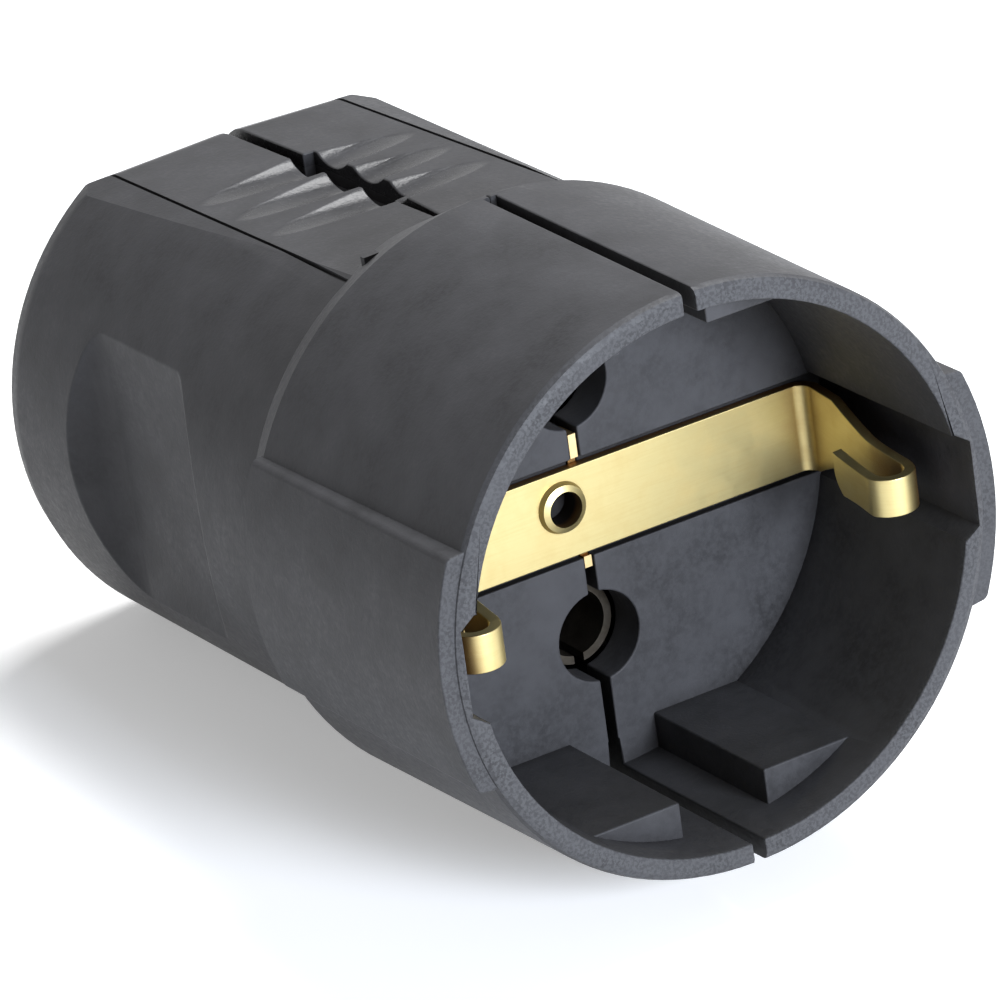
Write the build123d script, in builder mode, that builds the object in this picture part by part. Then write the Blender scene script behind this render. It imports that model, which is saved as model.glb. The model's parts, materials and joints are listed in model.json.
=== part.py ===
from build123d import *
from math import atan2, cos, pi, radians, sin, tan
import os

# Two-half in-line socket: round well, two pin holes, side earth clips, screw terminals inside.
# Millimetres. The socket lies on a table with its mouth towards -Y. The origin is the centre of the
# mouth, and the axis falls towards the rear, so that collar and grip touch the table together.

# Plug system: pin pitch, pin and well
pin_pitch = 19.0
pin_radius = 2.4
pin_hole_clearance = 0.9
well_radius = 19.5
well_depth = 17.8

# Shell walls
collar_wall = 1.65
floor_wall = 3.2
panel_wall = 2.5
side_wall = 2.4
rear_wall = 2.4

# Collar, its rear ramp and the pads over the earth clips
collar_length = 25.2
collar_draft = 0.45
rim_rounding = 0.6
rim_steps = 2
ramp_slope = 0.475
pad_height = 0.65
pad_half_angle = 22.6
pad_bevel_angle = 2.6
pad_corner = 0.6
pad_chamfer = 0.3
pad_overhang = 0.6
pad_setback = 0.3

# Grip with a flat panel above and below, which leans outwards from the parting to its edge line
grip_length = 39.6
grip_step = 1.4
rear_rounding = 3.8
rear_steps = 3
panel_sink = 1.85
panel_fall = 1.23
panel_lean = 2.0
panel_line_front = 10.3
panel_line_rear = 9.75
panel_line_width = 0.3
panel_line_sink = 0.4
panel_bevel_lean = 14.0

# Moulding nib on the ramp
nib_x = 8.15
nib_setback = 2.7
nib_length = 1.25
nib_width = 0.5
nib_height = 1.1

# Finger scoops on the panels, finger recess in each side
scoop_count = 3
scoop_pitch = 5.0
scoop_radius = 3.4
scoop_sink = 0.9
scoop_reach = 9.2
scoop_setback = 14.9
recess_sink = 2.4
recess_front_setback = 9.9
recess_length = 18.7
recess_flank = 4.3
recess_stop = 2.4
recess_corner = 2.0
recess_sweep = 3.0
recess_lean = 3.5

# Parting between the halves
half_spread = 0.3
hairline = 0.06
collar_gap = 1.0
floor_gap = 0.8
panel_gap_front = 0.4
panel_gap_rear = 1.1
panel_gap_scoops = 2.0
gap_sink = 2.0

# Guide blocks and clip notches in the well wall
guide_rise = 2.9
guide_slot = 7.0
guide_setback = 4.0
notch_sink = 1.2
notch_clearance = 0.7
notch_slant = 0.8

# Earth strap: flat strip, tapered legs, hairpin noses
strap_width = 6.5
strap_height = 0.25
strap_thickness = 0.8
strap_proud = 0.2
strap_side_clearance = 0.45
bend_radius = 1.3
leg_sink = 0.15
leg_lean = 1.05
tongue_top = 0.85
tongue_bottom = 1.95
nose_setback = 3.5
nose_lean = 0.6
nose_width = 4.0
curl_length = 5.3
curl_corner = 2.5
kink_setback = 8.5
kink_radius = 8.0
taper_end = 4.5
upper_taper_start = 4.4
upper_taper_middle = 7.5
upper_taper_height = 2.15
lower_taper_start = 1.2
lower_taper_middle = 4.3
lower_taper_height = 2.0

# Earth rivet and earth terminal
rivet_offset = 1.75
rivet_height = 0.9
rivet_radius = 1.5
rivet_wall = 0.2
rivet_rim_proud = 0.6
rivet_clinch = 0.25
sheet = 0.6
web_above_strap = 2.2
web_below_strap = 1.3
web_set_in = 0.2
tab_margin = 0.3

# Pin contacts and terminals
contact_wall = 0.6
sleeve_length = 11.8
sleeve_slit = 0.8
block_size = 6.6
block_length = 7.0
wire_gap = 3.4
wire_gap_length = 5.5
spring_setback = 2.0
spring_length = 4.0
spring_thickness = 0.4
terminal_screw_radius = 1.4
terminal_screw_proud = 0.8
screw_slot = 0.7
screw_head_height = 1.8

# Room inside the shells, its partition, and the housing screws
room_corner = 7.5
partition = 1.6
partition_setback = 0.8
housing_screw_radius = 1.5
housing_head_radius = 2.8
housing_screw_height = 6.5
housing_screw_set_in = 0.8
housing_screw_grip = 9.0
boss_wall = 1.4
boss_clearance = 1.2

# Cord inlet and clamp
inlet_radius = 5.2
clamp_width = 5.4
clamp_corner = 1.4
clamp_clearance = 2.7
clamp_screw_radius = 1.4
clamp_head_radius = 2.5
clamp_screw_height = 7.6
clamp_thickness = 3.0
clamp_seat = 3.6
clamp_saddle_radius = 5.6
clamp_screw_grip = 7.0

# Fits
seat_clearance = 0.1
slide_clearance = 0.05

# Sizes that follow
length = collar_length + grip_length
rim_radius = well_radius + collar_wall
collar_radius = rim_radius + collar_draft
pad_radius = collar_radius + pad_height
grip_radius = collar_radius - grip_step
panel_front = grip_radius - panel_sink
panel_rear = panel_front - panel_fall
panel_slope = panel_fall / grip_length
roll_start = length - rear_rounding
panel_roll_height = panel_rear + panel_slope * rear_rounding
ramp_foot = collar_length + (collar_radius - panel_front) / (ramp_slope - panel_slope)
ramp_end = ramp_foot + panel_wall / ramp_slope
floor_back = well_depth + floor_wall
pin_height = pin_pitch / 2
pin_hole_radius = pin_radius + pin_hole_clearance
strap_top = strap_height + strap_width / 2
strap_bottom = strap_height - strap_width / 2
strap_front = well_depth - strap_proud
strap_back = strap_front + strap_thickness
tab_back = strap_back + sheet
clinch_back = tab_back + rivet_wall + seat_clearance
clinch_room = 2 * (rivet_radius + rivet_clinch + seat_clearance)
sleeve_radius = pin_radius + slide_clearance + contact_wall
sleeve_front = floor_back + seat_clearance
spring_inside = sleeve_radius + slide_clearance
spring_outside = spring_inside + spring_thickness
block_front = sleeve_front + sleeve_length
block_back = block_front + block_length
partition_front = block_front + partition_setback
boss_half = housing_screw_radius + boss_wall
boss_depth = block_back + boss_clearance + boss_half
post_half = clamp_screw_radius + boss_wall
clamp_depth = boss_depth + boss_half + clamp_clearance + clamp_width / 2
recess_floor = grip_radius - recess_sink
room_height = panel_rear - panel_wall
room_width = recess_floor - side_wall
grip_side = grip_radius + half_spread
recess_front = collar_length + recess_front_setback
recess_rear = recess_front + recess_length
recess_outside = 2 * grip_side - recess_floor
ramp_start = collar_length + (collar_radius - grip_radius) / ramp_slope
scoop_end = scoop_setback + (scoop_count - 1) * scoop_pitch + scoop_pitch / 2
terminal_screw_depth = block_back - wire_gap_length / 2
block_heights = (pin_height, rivet_height, -pin_height)
web_top = strap_top + web_above_strap
web_bottom = strap_bottom - web_below_strap
tab_width = rivet_offset + rivet_radius + rivet_rim_proud + tab_margin
tab_height = 2 * (tab_width - rivet_offset)
leg_side = well_radius + leg_sink - strap_thickness / 2
nose_side = leg_side - nose_lean
curl_side = nose_side - nose_width + strap_thickness
curl_end = nose_setback + curl_length
nose_bend = (nose_width - strap_thickness) / 2 - slide_clearance
notch_half = strap_width / 2 + notch_clearance
notch_floor = well_radius + notch_sink
housing_seat = recess_floor - housing_screw_set_in - screw_head_height
housing_screw_places = [(boss_depth, housing_screw_height), (boss_depth, -housing_screw_height)]
terminal_screw_places = [(terminal_screw_depth, height) for height in block_heights]
clamp_screw_places = [(clamp_depth, clamp_screw_height), (clamp_depth, -clamp_screw_height)]
beyond = 2 * length

# Rest: the collar's rear edge and the panel's rear edge lie on one table
rest_angle = atan2(collar_radius - panel_roll_height, roll_start - collar_length)
forward = Vector(0, -cos(rest_angle), sin(rest_angle))
upward = Vector(0, sin(rest_angle), cos(rest_angle))
inward = -forward

# Working planes through the mouth's centre. Across the axis: x and height.
# Along the axis: depth and height. From above, upright or leaning: x and depth.
along = Plane((0, 0, 0), x_dir=inward, z_dir=(1, 0, 0))
above = Plane((0, 0, 0), x_dir=(1, 0, 0), z_dir=upward)
leaning = Plane((0, 0, 0), x_dir=(1, 0, 0), z_dir=upward + inward * tan(radians(recess_lean)))
middle = Plane.YZ
half_axis = Axis((half_spread, 0, 0), inward)

# Upper panel of the right half, and the bevel outside its edge line
panel_across = Vector(1, 0, 0) - upward * tan(radians(panel_lean))
panel_along = inward - upward * panel_slope
panel = Plane(inward * collar_length + upward * panel_front, panel_across, panel_across.cross(panel_along))
line_front = panel.from_local_coords(Vector(panel_line_front, ramp_start - collar_length, 0))
line_rear = panel.from_local_coords(Vector(panel_line_rear, grip_length, 0))
bevel_across = Vector(1, 0, 0) - upward * tan(radians(panel_bevel_lean))
panel_bevel = Plane(line_front, bevel_across, bevel_across.cross(line_rear - line_front))


def place(x, depth, height):
    """A point by its side offset, depth from the mouth and height over the axis."""
    return Vector(x, 0, 0) + inward * depth + upward * height


def across_at(depth, x=0.0, height=0.0):
    """The plane across the axis at a depth, with its origin at a point of it."""
    return Plane(place(x, depth, height), x_dir=(1, 0, 0), z_dir=forward)


def along_at(x, depth=0.0, height=0.0):
    """The plane along the axis at a side offset, with its origin at a point of it."""
    return Plane(place(x, depth, height), x_dir=inward, z_dir=(1, 0, 0))


def rolled_edge(depth, height, radius, steps):
    """A quarter round in flat steps about a centre, from its crest down to its flat end."""
    turns = [pi / 2 * step / steps for step in range(steps + 1)]
    return [(depth + radius * sin(turn), height + abs(radius) * cos(turn)) for turn in turns]


def terminal_block(height):
    """Brass screw block at a height, open to the rear for the wire and to the side for its screw."""
    with BuildPart() as block:
        with BuildSketch(across_at(block_back)):
            with Locations((0, height)):
                Rectangle(block_size, block_size)
        extrude(amount=block_length)
        with BuildSketch(across_at(block_back)):
            with Locations((0, height)):
                Rectangle(wire_gap, wire_gap)
        extrude(amount=wire_gap_length, mode=Mode.SUBTRACT)
        with BuildSketch(along):
            with Locations((terminal_screw_depth, height)):
                Circle(terminal_screw_radius + slide_clearance)
        extrude(amount=block_size, mode=Mode.SUBTRACT)
    return block.part


def slotted_screw(seat, thread_radius, head_radius, shank):
    """Cheese-head screw with its head on a seat plane and its shank below it."""
    with BuildPart() as screw:
        with BuildSketch(seat):
            Circle(thread_radius)
        extrude(amount=-shank)
        with BuildSketch(seat):
            Circle(head_radius)
        extrude(amount=screw_head_height)
        with BuildSketch(seat.offset(screw_head_height)):
            Rectangle(2 * head_radius, screw_slot)
        extrude(amount=-screw_slot, mode=Mode.SUBTRACT)
    return screw.part


def room_face():
    """Outline of the inner room across the axis, with bevelled corners."""
    with BuildSketch() as face:
        Rectangle(2 * room_width, 2 * room_height)
        chamfer(face.vertices(), room_corner)
    return face.sketch


# Space over the upper panel of the right half and over the bevel at its side
with BuildPart() as over_panel:
    with BuildSketch(Plane(panel.origin, x_dir=inward, z_dir=panel_across)):
        with BuildLine():
            roll = RadiusArc(
                (roll_start - collar_length, panel_roll_height - panel_front),
                (grip_length, panel_roll_height - panel_front - rear_rounding),
                rear_rounding,
            )
            Polyline(
                roll @ 1,
                (grip_length, beyond),
                (well_depth - collar_length, beyond),
                (well_depth - collar_length, panel_slope * (collar_length - well_depth)),
                roll @ 0,
            )
        make_face()
    extrude(amount=beyond, both=True)
    with BuildSketch(panel_bevel):
        Rectangle(beyond, beyond)
    extrude(amount=beyond)

# Pad over the earth clip, with rounded ends and a bevelled rear edge
with BuildPart() as pad:
    with BuildSketch(across_at(collar_length + pad_overhang, half_spread)) as pad_face:
        with BuildLine():
            crest = CenterArc((0, 0), pad_radius, -pad_half_angle, 2 * pad_half_angle)
            foot_angle = pad_half_angle + pad_bevel_angle
            foot = CenterArc((0, 0), rim_radius - rim_rounding, -foot_angle, 2 * foot_angle)
            Line(crest @ 0, foot @ 0)
            Line(crest @ 1, foot @ 1)
        make_face()
        fillet(pad_face.vertices().sort_by_distance((0, 0))[-2:], pad_corner)
    extrude(amount=collar_length + pad_overhang - pad_setback)
    rear_face = pad.faces().sort_by(Axis((0, 0, 0), inward))[-1]
    chamfer(rear_face.edges().filter_by(GeomType.CIRCLE).sort_by(SortBy.RADIUS)[-1], pad_chamfer)

# Right half of the outer form: round grip with flat panels, joined to the tapered collar
with BuildPart() as outer_half:
    with BuildSketch(along_at(half_spread)):
        with BuildLine():
            Polyline(
                (length, 0),
                (well_depth, 0),
                (well_depth, grip_radius),
                *rolled_edge(roll_start, grip_radius - rear_rounding, rear_rounding, rear_steps),
                close=True,
            )
        make_face()
    revolve(axis=half_axis)
    add(over_panel.part, mode=Mode.SUBTRACT)
    mirror(over_panel.part, about=above, mode=Mode.SUBTRACT)
    with BuildSketch(along_at(half_spread)):
        with BuildLine():
            Polyline(
                *rolled_edge(rim_rounding, rim_radius - rim_rounding, -rim_rounding, rim_steps),
                (0, 0),
                (ramp_end, 0),
                (ramp_end, collar_radius - ramp_slope * (ramp_end - collar_length)),
                (collar_length, collar_radius),
                close=True,
            )
        make_face()
    revolve(axis=half_axis)
    add(pad.part)
    split(bisect_by=middle.offset(hairline / 2), keep=Keep.TOP)

# Cuts of the upper panel in both halves: edge line and finger scoops
with BuildPart() as panel_cuts:
    with BuildSketch(panel.offset(-panel_line_sink)):
        with BuildLine():
            Polyline(
                (panel_line_front, ramp_start - collar_length),
                (panel_line_front - panel_line_width, ramp_start - collar_length),
                (panel_line_rear - panel_line_width, grip_length),
                (panel_line_rear, grip_length),
                close=True,
            )
        make_face()
    extrude(amount=panel_line_sink + gap_sink)
    for index in range(scoop_count):
        scoop_place = scoop_setback + index * scoop_pitch
        root = panel.from_local_coords((0, scoop_place, scoop_radius - scoop_sink))
        tip = panel.from_local_coords((scoop_reach, scoop_place, scoop_radius))
        with BuildSketch(Plane(root, z_dir=tip - root)):
            Circle(scoop_radius)
        extrude(amount=2 * scoop_reach, both=True)

# Parting gap of the upper panel, which is set back in the right half only
with BuildPart() as panel_gap:
    with BuildSketch(panel.offset(-gap_sink)):
        with BuildLine():
            Polyline(
                (0, ramp_foot - collar_length),
                (panel_gap_front, ramp_foot - collar_length),
                (panel_gap_rear, scoop_setback),
                (panel_gap_scoops, scoop_setback),
                (panel_gap_scoops, scoop_end),
                (panel_gap_rear, scoop_end),
                (panel_gap_rear, beyond),
                (0, beyond),
                close=True,
            )
        make_face()
    extrude(amount=beyond)

# Right half of the shell, as far as both halves are alike
with BuildPart() as half_shell:
    add(outer_half.part)
    add(panel_cuts.part, mode=Mode.SUBTRACT)
    mirror(panel_cuts.part, about=above, mode=Mode.SUBTRACT)

    # Finger recess in the side
    with BuildSketch(leaning):
        with BuildLine():
            hollow = FilletPolyline(
                (recess_outside, recess_front - recess_flank),
                (recess_floor, recess_front + recess_flank),
                (recess_floor, recess_rear - recess_stop),
                (recess_outside, recess_rear + recess_stop),
                radius=(recess_corner, recess_sweep),
            )
            Line(hollow @ 1, hollow @ 0)
        make_face()
    extrude(amount=beyond, both=True, mode=Mode.SUBTRACT)

    # Plug well
    with BuildSketch(across_at(well_depth, half_spread)):
        Circle(well_radius)
    extrude(amount=well_depth, mode=Mode.SUBTRACT)

    # Guide blocks above and below, on both sides of the guide slot
    with BuildSketch(across_at(well_depth)):
        with Locations((half_spread, 0)):
            Circle(well_radius + collar_wall / 2)
        Rectangle(beyond, 2 * (well_radius - guide_rise), mode=Mode.SUBTRACT)
        Rectangle(guide_slot, beyond, mode=Mode.SUBTRACT)
        with Locations((beyond / 2, 0)):
            Rectangle(beyond, beyond, mode=Mode.INTERSECT)
    extrude(amount=well_depth - guide_setback)

    # Notch for the earth clip, with slanted sides, and channel for the earth strap
    with BuildSketch(across_at(well_depth, 0, strap_height)):
        with BuildLine():
            Polyline(
                (0, notch_half),
                (well_radius, notch_half),
                (notch_floor, notch_half - notch_slant),
                (notch_floor, notch_slant - notch_half),
                (well_radius, -notch_half),
                (0, -notch_half),
                close=True,
            )
        make_face()
    extrude(amount=beyond, mode=Mode.SUBTRACT)
    with BuildSketch(across_at(strap_back + slide_clearance, notch_floor / 2, strap_height)):
        Rectangle(notch_floor, strap_width + 2 * strap_side_clearance)
    extrude(amount=strap_thickness, mode=Mode.SUBTRACT)

    # Parting gaps of the collar wall and the well floor
    with BuildSketch(across_at(collar_length - collar_gap / 2)):
        Rectangle(collar_gap, beyond)
        Rectangle(collar_gap, 2 * (well_radius - gap_sink), mode=Mode.SUBTRACT)
    extrude(amount=beyond, mode=Mode.SUBTRACT)
    with BuildSketch(across_at(floor_back)):
        Rectangle(floor_gap, 2 * well_radius)
    extrude(amount=floor_wall + seat_clearance, mode=Mode.SUBTRACT)

    # Inner room for the contacts and the conductors
    with BuildSketch(across_at(length - rear_wall)):
        add(room_face())
    extrude(amount=length - rear_wall - floor_back, mode=Mode.SUBTRACT)

    # Pin holes
    with BuildSketch(across_at(floor_back)):
        with Locations((0, pin_height), (0, -pin_height)):
            Circle(pin_hole_radius)
    extrude(amount=floor_wall, mode=Mode.SUBTRACT)

    # Partition that holds the screw blocks
    with BuildSketch(across_at(partition_front + partition)):
        add(room_face())
        Rectangle(
            block_size + 2 * seat_clearance,
            pin_pitch + block_size + 2 * seat_clearance,
            mode=Mode.SUBTRACT,
        )
        with Locations((hairline / 2 + beyond / 2, 0)):
            Rectangle(beyond, beyond, mode=Mode.INTERSECT)
    extrude(amount=partition)

    # Pillars for the housing screws
    with BuildSketch(along_at(hairline / 2)):
        with Locations(*housing_screw_places):
            Rectangle(2 * boss_half, 2 * boss_half)
    extrude(amount=room_width + side_wall / 2)

    # Cord inlet
    with BuildSketch(across_at(length)):
        Circle(inlet_radius)
    extrude(amount=2 * rear_wall, mode=Mode.SUBTRACT)

# Right shell: parting gap and counterbored holes for the housing screws
with BuildPart() as right_shell:
    add(half_shell.part)
    add(panel_gap.part, mode=Mode.SUBTRACT)
    mirror(panel_gap.part, about=above, mode=Mode.SUBTRACT)
    with BuildSketch(along):
        with Locations(*housing_screw_places):
            Circle(housing_screw_radius + seat_clearance)
    extrude(amount=beyond, mode=Mode.SUBTRACT)
    with BuildSketch(along_at(housing_seat)):
        with Locations(*housing_screw_places):
            Circle(housing_head_radius + seat_clearance)
    extrude(amount=beyond, mode=Mode.SUBTRACT)

# Moulding nib, drawn on the right
with BuildPart() as nib:
    with BuildSketch(panel):
        with Locations((nib_x, nib_setback)):
            Rectangle(nib_length, nib_width)
    extrude(amount=nib_height)

# Left shell: screw holes, clamp posts, moulding nib and the pocket behind the earth strap
with BuildPart() as left_shell:
    mirror(half_shell.part, about=middle)
    with BuildSketch(along_at(clamp_seat - slide_clearance)):
        with Locations(*clamp_screw_places):
            Rectangle(2 * post_half, 2 * post_half)
    extrude(amount=-(clamp_seat + room_width + side_wall / 2))
    with BuildSketch(along_at(clamp_seat)):
        with Locations(*clamp_screw_places):
            Circle(clamp_screw_radius + slide_clearance)
    extrude(amount=-(clamp_seat + clamp_screw_grip + seat_clearance), mode=Mode.SUBTRACT)
    with BuildSketch(along):
        with Locations(*housing_screw_places):
            Circle(housing_screw_radius + slide_clearance)
    extrude(amount=-(housing_screw_grip + seat_clearance), mode=Mode.SUBTRACT)
    mirror(nib.part, about=middle)
    with BuildSketch(across_at(tab_back + slide_clearance)):
        with Locations((-tab_width / 2, rivet_height)):
            Rectangle(tab_width + 2 * seat_clearance, tab_height + 2 * seat_clearance)
    extrude(amount=sheet + strap_thickness, mode=Mode.SUBTRACT)
    with BuildSketch(across_at(clinch_back, -rivet_offset, rivet_height)):
        Rectangle(clinch_room, clinch_room)
    extrude(amount=sheet, mode=Mode.SUBTRACT)

# Earth strap: swept strip, mirrored, with its legs cut to a tapered tongue
with BuildPart() as earth_strap:
    with BuildLine(above.offset(strap_height)) as strip:
        FilletPolyline(
            (0, strap_front + strap_thickness / 2),
            (leg_side, strap_front + strap_thickness / 2),
            (leg_side - leg_lean, kink_setback),
            (nose_side, nose_setback),
            (curl_side, nose_setback),
            (curl_side, curl_end),
            radius=(bend_radius, kink_radius, nose_bend, nose_bend),
        )
    with BuildSketch(along_at(0, strap_front + strap_thickness / 2, strap_height)):
        Rectangle(strap_thickness, strap_width)
    sweep(path=strip.line)
    with BuildSketch(along_at(0, 0, strap_height)):
        with BuildLine():
            taper = ThreePointArc(
                (well_depth - upper_taper_start, strap_width / 2),
                (well_depth - upper_taper_middle, upper_taper_height),
                (taper_end, tongue_top),
            )
            Polyline(taper @ 1, (0, tongue_top), (0, strap_width), taper @ 0)
        make_face()
        with BuildLine():
            taper = ThreePointArc(
                (well_depth - lower_taper_start, -strap_width / 2),
                (well_depth - lower_taper_middle, -lower_taper_height),
                (taper_end, -tongue_bottom),
            )
            Polyline(taper @ 1, (0, -tongue_bottom), (0, -strap_width), taper @ 0)
        make_face()
    extrude(amount=beyond, mode=Mode.SUBTRACT)
    with BuildSketch(along_at(curl_side + nose_width / 2 - strap_thickness / 2, 0, strap_height)):
        with BuildLine():
            lip = RadiusArc(
                (curl_end - curl_corner, -tongue_bottom),
                (curl_end, curl_corner - tongue_bottom),
                -curl_corner,
            )
            Polyline(lip @ 1, (curl_end, -strap_width), (curl_end - curl_corner, -strap_width), lip @ 0)
        make_face()
    extrude(amount=-nose_width, mode=Mode.SUBTRACT)
    mirror(about=middle)
    with BuildSketch(across_at(well_depth)):
        with Locations((-rivet_offset, rivet_height)):
            Circle(rivet_radius + slide_clearance)
    extrude(amount=strap_thickness, both=True, mode=Mode.SUBTRACT)

# Hollow earth rivet with a flared rim, clinched behind the tab
with BuildPart() as earth_rivet:
    with BuildSketch(along_at(-rivet_offset, 0, rivet_height)):
        with BuildLine():
            Polyline(
                *rolled_edge(strap_front, rivet_radius - rivet_wall, -rivet_rim_proud, rim_steps),
                (tab_back + rivet_wall, rivet_radius - rivet_wall),
                (tab_back + rivet_wall, rivet_radius + rivet_clinch),
                (tab_back, rivet_radius),
                (strap_front, rivet_radius),
                close=True,
            )
        make_face()
    revolve(axis=Axis(place(-rivet_offset, 0, rivet_height), inward))

# Earth terminal: tab under the rivet, upright web in the parting, screw block
with BuildPart() as earth_terminal:
    with BuildSketch(along_at(-sheet / 2)):
        with BuildLine():
            Polyline(
                (well_depth + web_set_in, web_bottom),
                (well_depth + web_set_in, strap_bottom - strap_side_clearance),
                (strap_back + slide_clearance, strap_bottom - strap_side_clearance),
                (strap_back + slide_clearance, strap_top + strap_side_clearance),
                (well_depth + web_set_in, strap_top + strap_side_clearance),
                (well_depth + web_set_in, web_top),
                (floor_back, web_top),
                (block_front, rivet_height + block_size / 2),
                (block_front, rivet_height - block_size / 2),
                (floor_back, web_bottom),
                close=True,
            )
        make_face()
    extrude(amount=sheet)
    with BuildSketch(across_at(tab_back)):
        with Locations((-tab_width / 2, rivet_height)):
            Rectangle(tab_width, tab_height)
    extrude(amount=sheet)
    with BuildSketch(across_at(tab_back, -rivet_offset, rivet_height)):
        Circle(rivet_radius + slide_clearance)
    extrude(amount=sheet, mode=Mode.SUBTRACT)
    with BuildSketch(across_at(clinch_back, -rivet_offset, rivet_height)):
        Circle(clinch_room / 2)
    extrude(amount=clinch_back - tab_back, mode=Mode.SUBTRACT)
    add(terminal_block(rivet_height))

# Pin contacts: sleeves split on their outer side, in one piece with a screw block each
with BuildPart() as upper_contact:
    add(terminal_block(pin_height))
    with BuildSketch(across_at(block_front)):
        with Locations((0, pin_height)):
            Circle(sleeve_radius)
    extrude(amount=sleeve_length)
    with BuildSketch(across_at(block_front)):
        with Locations((0, pin_height)):
            Circle(pin_radius + slide_clearance)
        with Locations((0, pin_height + sleeve_radius)):
            Rectangle(sleeve_slit, sleeve_radius)
    extrude(amount=sleeve_length, mode=Mode.SUBTRACT)
with BuildPart() as lower_contact:
    mirror(upper_contact.part, about=above)

# Flat steel springs, bent to a U and pushed on the sleeves from the axis side
with BuildPart() as upper_contact_spring:
    with BuildSketch(across_at(sleeve_front + spring_setback + spring_length)):
        with Locations((0, pin_height)):
            Rectangle(2 * spring_outside, 2 * spring_outside)
            Rectangle(2 * spring_inside, 2 * spring_inside, mode=Mode.SUBTRACT)
        with Locations((0, pin_height + spring_outside)):
            Rectangle(2 * spring_inside, 2 * spring_outside, mode=Mode.SUBTRACT)
    extrude(amount=spring_length)
with BuildPart() as lower_contact_spring:
    mirror(upper_contact_spring.part, about=above)

# Headless terminal screws, one in each block
with BuildPart() as terminal_screws:
    with BuildSketch(along_at(block_size / 2 + terminal_screw_proud)):
        with Locations(*terminal_screw_places):
            Circle(terminal_screw_radius)
    extrude(amount=-block_size / 2)
    with BuildSketch(along_at(block_size / 2 + terminal_screw_proud)):
        with Locations(*terminal_screw_places):
            Rectangle(2 * terminal_screw_radius, screw_slot)
    extrude(amount=-terminal_screw_proud, mode=Mode.SUBTRACT)

# Housing screws, entered from the right, and clamp screws
with BuildPart() as housing_screws:
    for depth, height in housing_screw_places:
        head = along_at(housing_seat, depth, height)
        shank = housing_seat + housing_screw_grip
        add(slotted_screw(head, housing_screw_radius, housing_head_radius, shank))
with BuildPart() as clamp_screws:
    for depth, height in clamp_screw_places:
        head = along_at(clamp_seat + clamp_thickness, depth, height)
        shank = clamp_thickness + clamp_seat + clamp_screw_grip
        add(slotted_screw(head, clamp_screw_radius, clamp_head_radius, shank))

# Cord clamp: bar with a saddle, held on the two posts
with BuildPart() as cord_clamp:
    with BuildSketch(along_at(clamp_seat)):
        with Locations((clamp_depth, 0)):
            bar = Rectangle(clamp_width, 2 * (clamp_screw_height + post_half))
        chamfer(bar.vertices(), clamp_corner)
        with Locations(*clamp_screw_places):
            Circle(clamp_screw_radius + seat_clearance, mode=Mode.SUBTRACT)
    extrude(amount=clamp_thickness)
    with BuildSketch(across_at(length)):
        Circle(clamp_saddle_radius)
    extrude(amount=grip_length, mode=Mode.SUBTRACT)

os.makedirs("parts", exist_ok=True)
left_shell.part.label = "left_shell"
export_step(left_shell.part, "parts/left_shell.step")
right_shell.part.label = "right_shell"
export_step(right_shell.part, "parts/right_shell.step")
earth_strap.part.label = "earth_strap"
export_step(earth_strap.part, "parts/earth_strap.step")
earth_rivet.part.label = "earth_rivet"
export_step(earth_rivet.part, "parts/earth_rivet.step")
earth_terminal.part.label = "earth_terminal"
export_step(earth_terminal.part, "parts/earth_terminal.step")
upper_contact.part.label = "upper_contact"
export_step(upper_contact.part, "parts/upper_contact.step")
lower_contact.part.label = "lower_contact"
export_step(lower_contact.part, "parts/lower_contact.step")
upper_contact_spring.part.label = "upper_contact_spring"
export_step(upper_contact_spring.part, "parts/upper_contact_spring.step")
lower_contact_spring.part.label = "lower_contact_spring"
export_step(lower_contact_spring.part, "parts/lower_contact_spring.step")
terminal_screws.part.label = "terminal_screws"
export_step(terminal_screws.part, "parts/terminal_screws.step")
housing_screws.part.label = "housing_screws"
export_step(housing_screws.part, "parts/housing_screws.step")
cord_clamp.part.label = "cord_clamp"
export_step(cord_clamp.part, "parts/cord_clamp.step")
clamp_screws.part.label = "clamp_screws"
export_step(clamp_screws.part, "parts/clamp_screws.step")
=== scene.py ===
import json
from math import atan2, radians, tan

import bmesh
import bpy
from mathutils import Matrix, Vector


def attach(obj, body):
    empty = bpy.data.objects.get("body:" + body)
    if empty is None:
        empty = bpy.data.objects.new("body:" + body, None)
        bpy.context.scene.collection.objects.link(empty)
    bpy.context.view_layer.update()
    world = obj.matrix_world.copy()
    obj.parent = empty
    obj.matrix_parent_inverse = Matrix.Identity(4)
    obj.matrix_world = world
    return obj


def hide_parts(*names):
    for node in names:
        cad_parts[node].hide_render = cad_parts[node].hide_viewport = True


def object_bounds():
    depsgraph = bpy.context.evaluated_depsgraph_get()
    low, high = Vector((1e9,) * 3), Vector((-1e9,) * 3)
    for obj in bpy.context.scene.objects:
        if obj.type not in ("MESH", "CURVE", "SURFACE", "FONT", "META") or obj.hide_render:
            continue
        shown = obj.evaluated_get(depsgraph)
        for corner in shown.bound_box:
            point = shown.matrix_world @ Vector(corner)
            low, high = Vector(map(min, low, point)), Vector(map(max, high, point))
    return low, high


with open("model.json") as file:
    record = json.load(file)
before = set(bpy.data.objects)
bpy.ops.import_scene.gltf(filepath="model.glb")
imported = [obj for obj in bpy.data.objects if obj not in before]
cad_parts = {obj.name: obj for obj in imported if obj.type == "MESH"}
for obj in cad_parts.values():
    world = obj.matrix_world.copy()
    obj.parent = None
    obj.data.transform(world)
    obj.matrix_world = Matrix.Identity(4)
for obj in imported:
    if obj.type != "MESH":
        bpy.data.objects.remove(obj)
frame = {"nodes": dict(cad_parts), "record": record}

cad_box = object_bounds()

# Lengths are in metres, and mm turns millimetres into them
mm = 0.001

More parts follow.
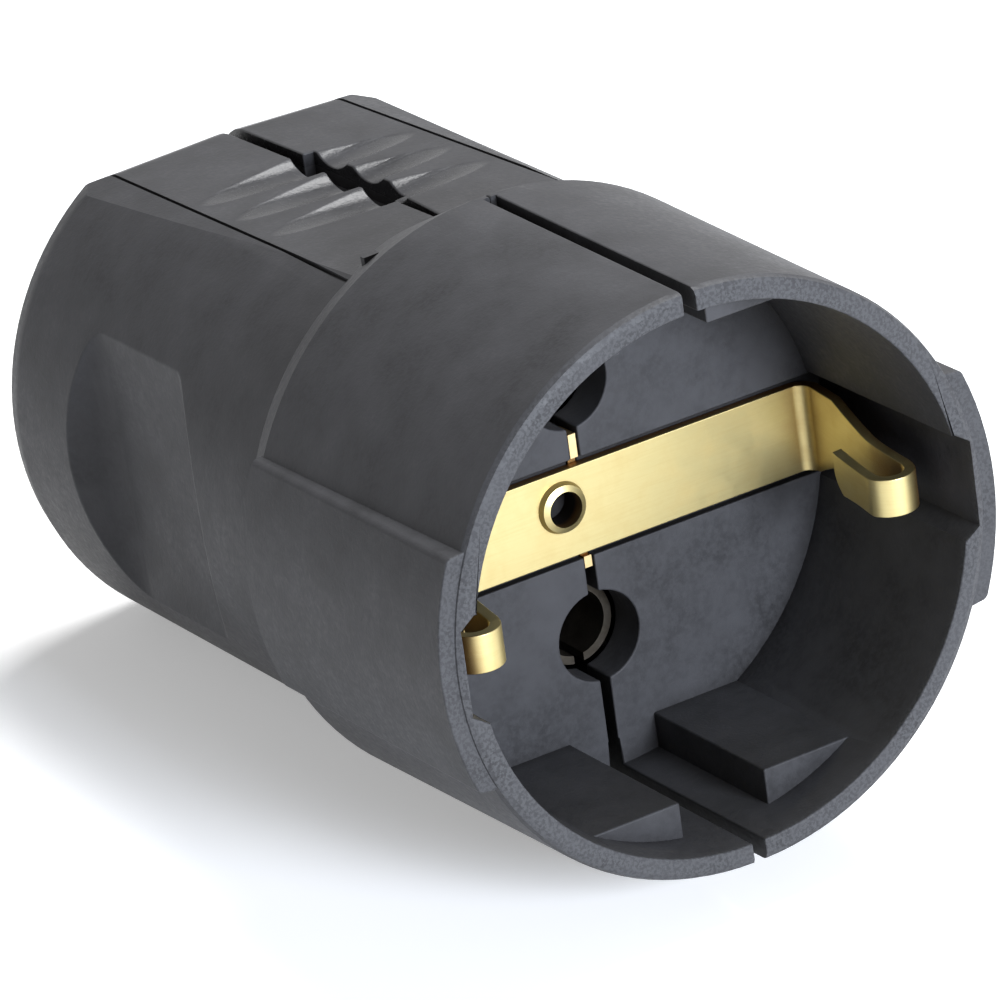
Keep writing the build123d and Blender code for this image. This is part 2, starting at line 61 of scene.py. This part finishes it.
# The socket lies with its axis falling to the rear: the record's well mount gives the axis
well_mount = next(mount for mount in frame["record"]["mounts"] if mount["name"] == "plug_well")
rest_angle = atan2(well_mount["axis"][2], -well_mount["axis"][1])
lying = Matrix.Rotation(-rest_angle, 4, "X")

# Camera, seen from the socket's own axis
view_azimuth = -29.376
view_elevation = 22.692
view_roll = -7.93
view_distance = 571.9 * mm
view_aside = -15.194 * mm
view_above = 5.474 * mm
lens_length = 306.0
sensor_width = 36.0
nearest_seen = 0.05
farthest_seen = 20.0

# Lamps, seen from the socket's own axis
front_place = (0.07, -0.67, 0.17)
front_aim = (0.0, 0.0, 0.0)
front_size = 0.22
front_power = 8.6
front_tint = (0.84, 0.9, 1.0)
overhead_place = (0.315, 0.09, 0.63)
overhead_aim = (0.0, 0.04, 0.0)
overhead_size = 0.3
overhead_power = 6.2

# Surroundings
white = (1.0, 1.0, 1.0)
world_light = 0.22
floor_half = 1.5
floor_colour = (0.9, 0.9, 0.9)
floor_roughness = 0.9
floor_lift = 0.35

# Noise and shade, the same in every finish
noise_roughness = 0.6
shade_samples = 8

# Plastic: colours, then sizes of the grain, ranges of the noise that show, and gloss
shell_colour = (0.036, 0.036, 0.039)
# Lighter colour of the rounded edges: painted highlight along with wear
worn_highlit_edge_colour = (0.1, 0.1, 0.105)
rim_colour = (0.062, 0.063, 0.067)
# Near-black colour of the painted shade in gaps and corners
gap_shade_colour = (0.006, 0.005, 0.005)
clamp_colour = (0.07, 0.07, 0.07)
cloud_darkness = 0.7
cloud_lightness = 1.4
cloud_size = 5.0 * mm
cloud_detail = 3.0
cloud_range = (0.3, 0.7)
grain_size = 0.42 * mm
grain_detail = 3.0
grain_range = (0.4, 0.65)
grain_share = 0.6
pit_size = 0.26 * mm
pit_detail = 2.0
pit_range = (0.44, 0.56)
rim_range = (0.1 * mm, 0.7 * mm)
# Painted shade in gaps and corners: how far it reaches, the range that shows, and its share
gap_shade_reach = 3.2 * mm
gap_shade_range = (0.2, 0.72)
gap_shade_share = 0.9
plastic_gloss = 0.2
plastic_roughness = 0.5
matt_range = (0.3, 0.7)
matt_roughness = (0.46, 0.62)
scoop_polish = 0.46
grain_relief = 0.03 * mm
grain_strength = 0.5

# The panels' planes and the reach of the finger scoops in them, seen from the socket's axis
panel_height = 18.35 * mm
panel_start = 25.2 * mm
panel_fall = 1.23 / 39.6
panel_lean = tan(radians(2.0))
scoop_reach = 9.2 * mm
scoop_floor = 16.4 * mm
scoop_lip = 0.02 * mm
scoop_blend = 0.1 * mm

# Brass: colours, then rolling lines, tarnish clouds, painted shade in the bends and gloss
brass_colour = (0.54, 0.46, 0.225)
brass_edge_colour = (0.6, 0.45, 0.2)
brass_tarnish = (0.46, 0.34, 0.14)
terminal_colour = (0.72, 0.56, 0.3)
# Dark orange-brown of the painted shade in the bends
fold_shade_colour = (0.2, 0.09, 0.02)
# Near-black colour of the painted shade deep in holes
bore_shade_colour = (0.02, 0.015, 0.01)
line_stretch = (0.04, 0.04, 1.0)
line_size = 0.16 * mm
line_detail = 2.0
line_range = (0.45, 0.75)
line_share = 0.25
line_relief = 0.01 * mm
line_strength = 0.25
tarnish_size = 2.2 * mm
tarnish_detail = 4.0
tarnish_range = (0.45, 0.75)
tarnish_share = 0.4
fold_shade_reach = 4.5 * mm
fold_shade_range = (0.3, 0.8)
brass_roughness = 0.35
satin_range = (0.3, 0.75)
satin_roughness = (0.4, 0.5)

# Depths past which bores are painted dark as shade; beyond_part is for pieces without one
rivet_bore = 17.55 * mm
terminal_bore = 19.5 * mm
beyond_part = 1.0
bore_shade_blend = 0.5 * mm

# Dulled metal, with the contacts darkened further as painted shade: colours, then stains and flecks
# The contacts' colours are far darker than brass: painted shade deep in the pin holes, along with tarnish
contact_shade_colour = (0.1, 0.09, 0.075)
contact_shaded_stain = (0.05, 0.04, 0.03)
contact_roughness = 0.45
zinc_colour = (0.4, 0.4, 0.41)
zinc_stain = (0.24, 0.24, 0.25)
zinc_roughness = 0.34
stain_size = 1.6 * mm
stain_detail = 4.0
stain_range = (0.35, 0.75)
stain_share = 0.8
fleck_size = 0.14 * mm
fleck_detail = 2.0
fleck_range = (0.3, 0.7)
fleck_gloss = 0.08
fleck_dullness = 0.1
fleck_relief = 0.01 * mm
fleck_strength = 0.2

# Rounding of the edges
weld = 0.001 * mm
speck = 0.03 * mm
narrow = 0.6 * mm
flat_angle = radians(0.6)
crest_angle = radians(28.0)
smooth_angle = radians(17.0)
strip_angle = radians(50.0)
rounding_steps = 2
rounding_profile = 0.5
shell_softness = 0.14 * mm
strap_softness = 0.08 * mm
rivet_softness = 0.06 * mm
screw_softness = 0.12 * mm


def add_camera():
    """The photograph's view: a long lens, a little rolled."""
    data = bpy.data.cameras.new("camera")
    data.lens = lens_length
    data.sensor_width = sensor_width
    data.clip_start = nearest_seen
    data.clip_end = farthest_seen
    camera = bpy.data.objects.new("camera", data)
    bpy.context.scene.collection.objects.link(camera)
    camera.matrix_world = (
        lying
        @ Matrix.Rotation(radians(view_azimuth), 4, "Z")
        @ Matrix.Rotation(radians(90.0 - view_elevation), 4, "X")
        @ Matrix.Rotation(radians(view_roll), 4, "Z")
        @ Matrix.Translation((view_aside, view_above, view_distance))
    )
    bpy.context.scene.camera = camera


def add_lamp(name, place, aim, size, power, colour):
    """A square soft lamp at a place, aimed at a point, both seen from the socket's axis."""
    data = bpy.data.lights.new(name, "AREA")
    data.shape = "SQUARE"
    data.size = size
    data.energy = power
    data.color = colour
    lamp = bpy.data.objects.new(name, data)
    lamp.location = lying @ Vector(place)
    direction = lying @ (Vector(aim) - Vector(place))
    lamp.rotation_mode = "QUATERNION"
    lamp.rotation_quaternion = direction.to_track_quat("-Z", "Y")
    bpy.context.scene.collection.objects.link(lamp)


def add_node(tree, kind, settings=(), inputs=()):
    """A node with its settings and the values of its sockets."""
    node = tree.nodes.new(kind)
    for name, value in settings:
        setattr(node, name, value)
    for socket, value in inputs:
        if isinstance(value, bpy.types.NodeSocket):
            tree.links.new(value, node.inputs[socket])
        else:
            node.inputs[socket].default_value = value
    return node


def worked(tree, operation, *values):
    """The result of an operation on values."""
    return add_node(tree, "ShaderNodeMath", [("operation", operation)], enumerate(values)).outputs[0]


def spread(tree, value, span, first, last):
    """A value within a span, spread between first and last."""
    low, high = span
    inputs = [("Value", value), ("From Min", low), ("From Max", high), ("To Min", first), ("To Max", last)]
    return add_node(tree, "ShaderNodeMapRange", inputs=inputs).outputs[0]


def mixed(tree, share, one, other):
    """One colour, with a share of the other."""
    one = one if isinstance(one, bpy.types.NodeSocket) else (*one, 1.0)
    other = other if isinstance(other, bpy.types.NodeSocket) else (*other, 1.0)
    inputs = [(0, share), (6, one), (7, other)]
    return add_node(tree, "ShaderNodeMix", [("data_type", "RGBA")], inputs).outputs[2]


def seen_ray(tree):
    """1 for what the eye, a reflection or glass sees, 0 for light."""
    path = add_node(tree, "ShaderNodeLightPath")
    kinds = ("Is Camera Ray", "Is Glossy Ray", "Is Transmission Ray")
    eye, mirrored, through = [path.outputs[kind] for kind in kinds]
    return worked(tree, "MAXIMUM", worked(tree, "MAXIMUM", eye, mirrored), through)


def axis_place(tree, stretch=(1.0, 1.0, 1.0)):
    """Object coordinates turned to the socket's axis: side, depth and height."""
    place = add_node(tree, "ShaderNodeTexCoord").outputs["Object"]
    inputs = [("Vector", place), ("Rotation", (rest_angle, 0.0, 0.0)), ("Scale", stretch)]
    return add_node(tree, "ShaderNodeMapping", inputs=inputs).outputs[0]


def split_place(tree, place):
    """Side, depth and height of a place."""
    return add_node(tree, "ShaderNodeSeparateXYZ", inputs=[(0, place)]).outputs


def speckle(tree, place, size, detail):
    """Even noise with grains of about a size."""
    inputs = [("Vector", place), ("Scale", 1.0 / size), ("Detail", detail), ("Roughness", noise_roughness)]
    return add_node(tree, "ShaderNodeTexNoise", inputs=inputs).outputs["Fac"]


def hollow_shade(tree, reach):
    """1 in the open, falling to 0 deep in gaps and corners, where shade is painted darker."""
    settings = [("samples", shade_samples)]
    return add_node(tree, "ShaderNodeAmbientOcclusion", settings, [("Distance", reach)]).outputs["AO"]


def handled_scoops(tree, place):
    """1 in the finger scoops, which lie under the plane of either panel, 0 elsewhere."""
    side, depth, height = split_place(tree, place)
    aside = worked(tree, "ABSOLUTE", side)
    apart = worked(tree, "ABSOLUTE", height)
    fallen = worked(tree, "MULTIPLY_ADD", depth, panel_fall, apart)
    level = worked(tree, "MULTIPLY_ADD", aside, panel_lean, fallen)
    plane = panel_height + panel_start * panel_fall
    under = spread(tree, level, (plane - scoop_blend, plane - scoop_lip), 1.0, 0.0)
    near = spread(tree, aside, (scoop_reach - scoop_blend, scoop_reach), 1.0, 0.0)
    above = spread(tree, apart, (scoop_floor - scoop_blend, scoop_floor), 0.0, 1.0)
    behind = spread(tree, depth, (panel_start, panel_start + scoop_blend), 0.0, 1.0)
    lower = worked(tree, "MULTIPLY", under, near)
    inside = worked(tree, "MULTIPLY", above, behind)
    return worked(tree, "MULTIPLY", lower, inside)


def new_material(name, colour, roughness, metallic=0.0):
    """A material with its Principled shader set to plain values."""
    material = bpy.data.materials.new(name)
    material.use_nodes = True
    shader = material.node_tree.nodes["Principled BSDF"]
    shader.inputs["Base Color"].default_value = (*colour, 1.0)
    shader.inputs["Roughness"].default_value = roughness
    shader.inputs["Metallic"].default_value = metallic
    return material, shader


def roughen(tree, shader, height, depth, strength):
    """Fine relief on a surface."""
    inputs = [("Height", height), ("Distance", depth), ("Strength", strength)]
    relief = add_node(tree, "ShaderNodeBump", inputs=inputs)
    tree.links.new(relief.outputs[0], shader.inputs["Normal"])


def moulded_plastic(name, colour, scuff):
    """Matt moulded plastic: eroded grain, faint flow clouds, painted shade in the gaps and a scuffed rim.
    """
    material, shader = new_material(name, colour, plastic_roughness)
    shader.inputs["Specular IOR Level"].default_value = plastic_gloss
    tree = material.node_tree
    place = axis_place(tree)
    clouds = speckle(tree, place, cloud_size, cloud_detail)
    grain = speckle(tree, place, grain_size, grain_detail)
    pits = speckle(tree, place, pit_size, pit_detail)

    # Colour
    darker = tuple(cloud_darkness * part for part in colour)
    lighter = tuple(cloud_lightness * part for part in colour)
    clouded = mixed(tree, spread(tree, clouds, cloud_range, 0.0, 1.0), darker, lighter)
    grained = mixed(tree, spread(tree, grain, grain_range, 0.0, grain_share), clouded, lighter)
    rim = spread(tree, split_place(tree, place)["Y"], rim_range, scuff, 0.0)
    scuffed = worked(tree, "MULTIPLY", rim, spread(tree, pits, pit_range, 0.0, 1.0))
    rubbed = mixed(tree, scuffed, grained, rim_colour)
    # Painted shade: gaps and corners darken towards near black as they close in
    shaded_gaps = spread(tree, hollow_shade(tree, gap_shade_reach), gap_shade_range, gap_shade_share, 0.0)
    tree.links.new(mixed(tree, shaded_gaps, rubbed, gap_shade_colour), shader.inputs["Base Color"])

    # Gloss and relief
    matt = spread(tree, grain, matt_range, *matt_roughness)
    polish = spread(tree, handled_scoops(tree, place), (0.0, 1.0), 1.0, scoop_polish)
    tree.links.new(worked(tree, "MULTIPLY", matt, polish), shader.inputs["Roughness"])
    roughen(tree, shader, worked(tree, "ADD", grain, pits), grain_relief, grain_strength)
    return material


def rolled_brass(name, colour, bore_depth):
    """Rolled brass strip: lines along the strip, tarnish clouds, painted brown shade in its bends and
    painted dark shade deep in a hole.
    """
    material, shader = new_material(name, colour, brass_roughness, metallic=1.0)
    tree = material.node_tree
    place = axis_place(tree)
    lines = speckle(tree, axis_place(tree, line_stretch), line_size, line_detail)
    clouds = speckle(tree, place, tarnish_size, tarnish_detail)
    stained = mixed(tree, spread(tree, clouds, tarnish_range, 0.0, tarnish_share), colour, brass_tarnish)
    lined = mixed(tree, spread(tree, lines, line_range, 0.0, line_share), stained, brass_tarnish)
    # Painted shade: the bends turn dark orange-brown as they close in
    shaded_folds = spread(tree, hollow_shade(tree, fold_shade_reach), fold_shade_range, 1.0, 0.0)
    brown = mixed(tree, shaded_folds, lined, fold_shade_colour)
    # Painted shade: near black past the given depth
    shaded_bore = spread(tree, split_place(tree, place)["Y"], (bore_depth, bore_depth + bore_shade_blend), 0.0, 1.0)
    tree.links.new(mixed(tree, shaded_bore, brown, bore_shade_colour), shader.inputs["Base Color"])
    tree.links.new(spread(tree, clouds, satin_range, *satin_roughness), shader.inputs["Roughness"])
    roughen(tree, shader, lines, line_relief, line_strength)
    return material


def dull_metal(name, colour, stain, roughness):
    """Plain metal that has dulled: stains, fine flecks and uneven gloss."""
    material, shader = new_material(name, colour, roughness, metallic=1.0)
    tree = material.node_tree
    place = axis_place(tree)
    clouds = speckle(tree, place, stain_size, stain_detail)
    flecks = speckle(tree, place, fleck_size, fleck_detail)
    stained = mixed(tree, spread(tree, clouds, stain_range, 0.0, stain_share), colour, stain)
    tree.links.new(stained, shader.inputs["Base Color"])
    gloss = spread(tree, flecks, fleck_range, roughness - fleck_gloss, roughness + fleck_dullness)
    tree.links.new(gloss, shader.inputs["Roughness"])
    roughen(tree, shader, flecks, fleck_relief, fleck_strength)
    return material


def add_world():
    """Even white surroundings: full white for the eye and for reflections, softer as a light."""
    world = bpy.data.worlds.new("studio")
    bpy.context.scene.world = world
    world.use_nodes = True
    tree = world.node_tree
    background = tree.nodes["Background"]
    background.inputs["Color"].default_value = (*white, 1.0)
    strength = spread(tree, seen_ray(tree), (0.0, 1.0), world_light, 1.0)
    tree.links.new(strength, background.inputs["Strength"])


def add_floor():
    """A wide pale floor under the socket, lifted to white for the eye, which keeps the shadow."""
    level = Matrix.Translation((0, 0, cad_box[0].z))
    surface = bmesh.new()
    bmesh.ops.create_grid(surface, x_segments=1, y_segments=1, size=floor_half, matrix=level)
    mesh = bpy.data.meshes.new("floor")
    surface.to_mesh(mesh)
    surface.free()
    floor = bpy.data.objects.new("floor", mesh)
    bpy.context.scene.collection.objects.link(floor)
    material, shader = new_material("pale_floor", floor_colour, floor_roughness)
    shader.inputs["Specular IOR Level"].default_value = 0.0
    shader.inputs["Emission Color"].default_value = (*white, 1.0)
    tree = material.node_tree
    glow = spread(tree, seen_ray(tree), (0.0, 1.0), 0.0, floor_lift)
    tree.links.new(glow, shader.inputs["Emission Strength"])
    mesh.materials.append(material)


def dress(node, material):
    """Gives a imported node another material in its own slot."""
    for slot in frame["nodes"][node].material_slots:
        slot.material = material


def number_faces(body, patch):
    """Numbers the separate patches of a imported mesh, one for each face of the solid."""
    count = 0
    for start in body.faces:
        if start[patch]:
            continue
        count += 1
        start[patch] = count
        waiting = [start]
        while waiting:
            for edge in waiting.pop().edges:
                for face in edge.link_faces:
                    if not face[patch]:
                        face[patch] = count
                        waiting.append(face)


def within_patch(edge, patch):
    """Whether both faces of an edge lie in one patch."""
    return edge.link_faces[0][patch] == edge.link_faces[1][patch]


def merge_patches(body, patch):
    """Joins the patches along their borders, and drops specks and the flat edges inside patches."""
    bmesh.ops.remove_doubles(body, verts=body.verts, dist=weld)
    bmesh.ops.dissolve_degenerate(body, edges=body.edges, dist=speck)
    paired = [edge for edge in body.edges if len(edge.link_faces) == 2]
    inner = [edge for edge in paired if within_patch(edge, patch) and edge.calc_face_angle() < flat_angle]
    bmesh.ops.dissolve_edges(body, edges=inner, use_verts=False, use_face_split=False)


def crest_edges(body, patch):
    """Sharp outer edges between two patches, neither of them narrow."""
    paired = [edge for edge in body.edges if len(edge.link_faces) == 2]
    borders = [edge for edge in paired if not within_patch(edge, patch)]
    area, border = {}, {}
    for face in body.faces:
        area[face[patch]] = area.get(face[patch], 0.0) + face.calc_area()
    for edge in borders:
        for face in edge.link_faces:
            border[face[patch]] = border.get(face[patch], 0.0) + edge.calc_length()
    # Twice a patch's area over its border is about its width
    broad = {number for number in border if 2.0 * area[number] > narrow * border[number]}
    return [
        edge for edge in borders
        if edge.is_convex
        and edge.calc_face_angle() > crest_angle
        and all(face[patch] in broad for face in edge.link_faces)
    ]


def round_crests(body, crests, soft):
    """Rounds outer edges and gives the strips that this makes the second material."""
    made = bmesh.ops.bevel(
        body, geom=crests, offset=soft, offset_type="OFFSET", affect="EDGES", segments=rounding_steps,
        profile=rounding_profile, material=-1, clamp_overlap=False, loop_slide=True,
    )
    for face in body.faces:
        face.smooth = True
        face.material_index = 0
    for face in made["faces"]:
        face.material_index = 1
    bmesh.ops.dissolve_degenerate(body, edges=body.edges, dist=weld)


def keep_corners(body, patch):
    """Shades rounded edges and patches smoothly, and keeps the corners between patches sharp."""
    for edge in body.edges:
        if len(edge.link_faces) != 2:
            continue
        if any(face.material_index for face in edge.link_faces):
            edge.smooth = edge.calc_face_angle() < strip_angle
        else:
            edge.smooth = within_patch(edge, patch) or edge.calc_face_angle() < smooth_angle


def softened(node, soft, material, edge_material):
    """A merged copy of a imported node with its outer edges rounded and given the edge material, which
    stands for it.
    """
    body = bmesh.new()
    body.from_mesh(frame["nodes"][node].data)
    patch = body.faces.layers.int.new("patch")
    number_faces(body, patch)
    merge_patches(body, patch)
    round_crests(body, crest_edges(body, patch), soft)
    keep_corners(body, patch)
    mesh = bpy.data.meshes.new("softened_" + node)
    body.to_mesh(mesh)
    body.free()
    mesh.materials.clear()
    mesh.materials.append(material)
    mesh.materials.append(edge_material)
    piece = bpy.data.objects.new("softened_" + node, mesh)
    bpy.context.scene.collection.objects.link(piece)
    shading = piece.modifiers.new("even_shading", "WEIGHTED_NORMAL")
    shading.keep_sharp = True
    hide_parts(node)
    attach(piece, "root")


add_world()
add_floor()
add_camera()
add_lamp("front", front_place, front_aim, front_size, front_power, front_tint)
add_lamp("overhead", overhead_place, overhead_aim, overhead_size, overhead_power, white)

charcoal = moulded_plastic("charcoal_plastic", shell_colour, scuff=1.0)
# The rounded edge strips of the shells get a lighter plastic, a painted highlight along with wear
charcoal_highlit_edge = moulded_plastic("worn_highlit_charcoal_edge", worn_highlit_edge_colour, scuff=1.0)
clamp_plastic = moulded_plastic("clamp_plastic", clamp_colour, scuff=0.0)
brass = rolled_brass("rolled_brass", brass_colour, beyond_part)
brass_edge = rolled_brass("cut_brass_edge", brass_edge_colour, beyond_part)
rivet_brass = rolled_brass("rivet_brass", brass_colour, rivet_bore)
terminal_brass = rolled_brass("terminal_brass", terminal_colour, terminal_bore)
# The dark contact finish paints the shade deep in the pin holes, along with tarnish
contact_brass = dull_metal("shade_darkened_contact_brass", contact_shade_colour, contact_shaded_stain, contact_roughness)
zinc = dull_metal("zinc_plated_steel", zinc_colour, zinc_stain, zinc_roughness)

dress("cord_clamp", clamp_plastic)
dress("earth_terminal", terminal_brass)
for node in ("upper_contact", "lower_contact"):
    dress(node, contact_brass)
for node in ("clamp_screws", "terminal_screws", "upper_contact_spring", "lower_contact_spring"):
    dress(node, zinc)
for node in ("left_shell", "right_shell"):
    softened(node, shell_softness, charcoal, charcoal_highlit_edge)
softened("earth_strap", strap_softness, brass, brass_edge)
softened("earth_rivet", rivet_softness, rivet_brass, rivet_brass)
softened("housing_screws", screw_softness, zinc, zinc)

bpy.context.scene.view_settings.view_transform = "Standard"
bpy.context.view_layer.update()
